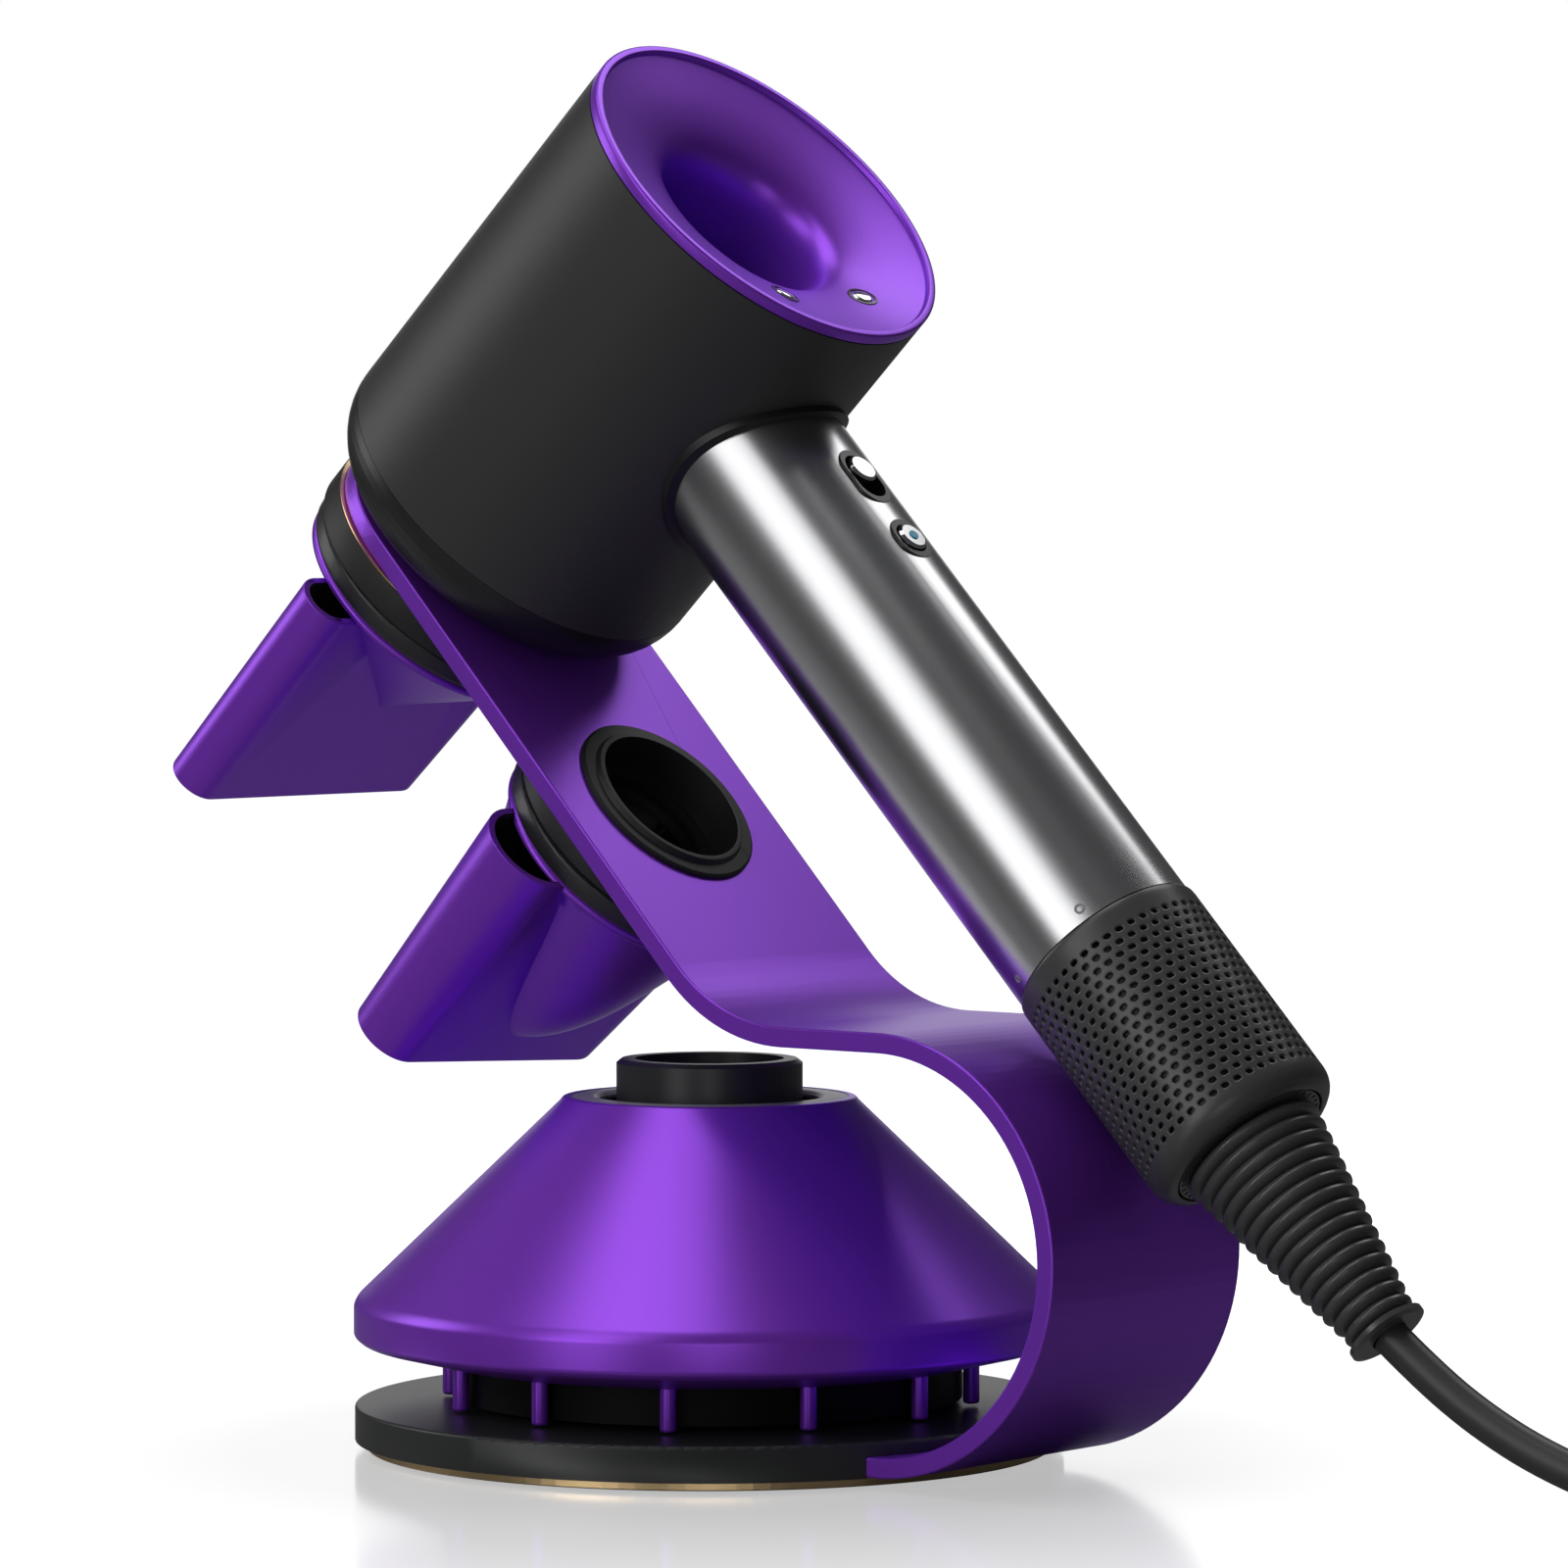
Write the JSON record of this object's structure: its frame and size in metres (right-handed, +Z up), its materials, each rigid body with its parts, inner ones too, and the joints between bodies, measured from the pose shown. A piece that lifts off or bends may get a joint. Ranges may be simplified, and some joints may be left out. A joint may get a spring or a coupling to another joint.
{
  "type": "hair dryer on docking stand",
  "caption": "Hair dryer with a round head and tubular handle, held by magnets on a curved arm stand that also parks a smoothing nozzle, a styling nozzle and a cone diffuser.",
  "frame": {"origin": "centre of the round base on the floor", "axes": "+Z up, +X towards the arm's loop and the cord, +Y to the far side of the stand's plane of symmetry"},
  "size_m": [0.4177, 0.2162, 0.2687],
  "materials": {
    "purple_satin": "satin",
    "head_charcoal": "satin",
    "cap_black": "satin",
    "handle_nickel": "polished",
    "cage_grey": "satin",
    "relief_grey": "satin",
    "cord_grey": "satin",
    "plug_black": "satin",
    "pin_brass": "polished",
    "control_black": "gloss",
    "button_chrome": "polished",
    "mark_blue": "gloss",
    "magnet_steel": "satin",
    "heater_card": "matte",
    "heater_wire": "satin",
    "board_green": "satin",
    "inner_black": "matte",
    "motor_alloy": "satin",
    "mesh_steel": "satin",
    "dock_black": "satin",
    "trim_copper": "polished",
    "base_black": "satin",
    "weight_iron": "matte",
    "pad_rubber": "matte",
    "collar_grey": "satin",
    "drum_black": "satin"
  },
  "bodies": {
    "stand": {"base_disc": "base_black", "base_trim_ring": "trim_copper", "base_weight": "weight_iron", "base_foot_pad": "pad_rubber", "arm_plate": "purple_satin", "arm_loop": "purple_satin", "arm_foot": "purple_satin", "arm_screws": "magnet_steel", "upper_dock": "dock_black", "upper_dock_trim": "trim_copper", "upper_dock_magnets": "magnet_steel", "lower_dock": "dock_black", "lower_dock_magnets": "magnet_steel"},
    "dryer": {"head_shell": "head_charcoal", "front_cap": "cap_black", "inlet_bell": "purple_satin", "core_tube": "cap_black", "outlet_ring": "cap_black", "neck_magnet": "magnet_steel", "heater_frame": "heater_card", "heater_element": "heater_wire", "ioniser": "inner_black", "control_board": "board_green", "handle_collar": "cap_black", "handle_tube": "handle_nickel", "switch_bezel": "control_black", "cold_shot_bezel": "control_black", "motor_duct": "inner_black", "motor_housing": "motor_alloy", "motor_stator": "magnet_steel", "motor_bearings": "magnet_steel", "filter_frame": "cage_grey", "filter_mesh": "mesh_steel", "end_cap": "cage_grey", "strain_relief": "relief_grey", "cord_ferrule": "relief_grey", "cord": "cord_grey", "cord_coil": "cord_grey", "cord_tail": "cord_grey", "plug_body": "plug_black", "plug_pins": "pin_brass"},
    "power_switch": {"power_switch": "button_chrome"},
    "cold_shot": {"cold_shot_button": "button_chrome", "cold_shot_mark": "mark_blue"},
    "flow_button": {"flow_button": "button_chrome"},
    "heat_button": {"heat_button": "button_chrome"},
    "rotor": {"motor_rotor": "magnet_steel", "impeller": "inner_black"},
    "filter_cage": {"filter_cage": "cage_grey"},
    "smoothing_mount": {"smoothing_nozzle_collar": "collar_grey"},
    "smoothing_nozzle": {"smoothing_nozzle_blade": "purple_satin", "smoothing_nozzle_cone": "purple_satin"},
    "styling_mount": {"styling_nozzle_collar": "collar_grey"},
    "styling_nozzle": {"styling_nozzle_blade": "purple_satin", "styling_nozzle_cone": "purple_satin"},
    "diffuser": {"diffuser_cone": "purple_satin", "diffuser_collar": "collar_grey", "diffuser_face": "drum_black", "diffuser_drum": "drum_black", "diffuser_pegs": "purple_satin"}
  },
  "joints": [
    {"name": "dryer_lift", "type": "slide", "parent": "stand", "child": "dryer", "axis": [0.7266, 0, 0.6871], "range_m": [0, 0.1]},
    {"name": "power_slide", "type": "slide", "parent": "dryer", "child": "power_switch", "axis": [0.6871, 0, -0.7266], "range_m": [0, 0.003]},
    {"name": "cold_shot_press", "type": "slide", "parent": "dryer", "child": "cold_shot", "axis": [-0.7266, 0, -0.6871], "range_m": [0, 0.0012], "stiffness_N_per_m": 700, "springref_m": -0.001},
    {"name": "flow_press", "type": "slide", "parent": "dryer", "child": "flow_button", "axis": [-0.7266, 0, -0.6871], "range_m": [0, 0.0008], "stiffness_N_per_m": 900, "springref_m": -0.001},
    {"name": "heat_press", "type": "slide", "parent": "dryer", "child": "heat_button", "axis": [-0.7266, 0, -0.6871], "range_m": [0, 0.0008], "stiffness_N_per_m": 900, "springref_m": -0.001},
    {"name": "rotor_spin", "type": "hinge", "parent": "dryer", "child": "rotor", "pos_m": [0.06177, 0, 0.134], "axis": [0.6871, 0, -0.7266], "continuous": true},
    {"name": "cage_pull", "type": "slide", "parent": "dryer", "child": "filter_cage", "axis": [0.6871, 0, -0.7266], "range_m": [0, 0.045]},
    {"name": "smoothing_pull", "type": "slide", "parent": "stand", "child": "smoothing_mount", "axis": [-0.7266, 0, -0.6871], "range_m": [0, 0.08]},
    {"name": "smoothing_turn", "type": "hinge", "parent": "smoothing_mount", "child": "smoothing_nozzle", "pos_m": [-0.06677, 0, 0.1666], "axis": [-0.7266, 0, -0.6871], "continuous": true},
    {"name": "styling_pull", "type": "slide", "parent": "stand", "child": "styling_mount", "axis": [-0.7266, 0, -0.6871], "range_m": [0, 0.07]},
    {"name": "styling_turn", "type": "hinge", "parent": "styling_mount", "child": "styling_nozzle", "pos_m": [-0.01742, 0, 0.11733], "axis": [-0.7266, 0, -0.6871], "range_deg": [-30, 30]},
    {"name": "diffuser_slide", "type": "slide", "parent": "stand", "child": "diffuser", "axis": [0, -1, 0], "range_m": [0, 0.16]}
  ]
}
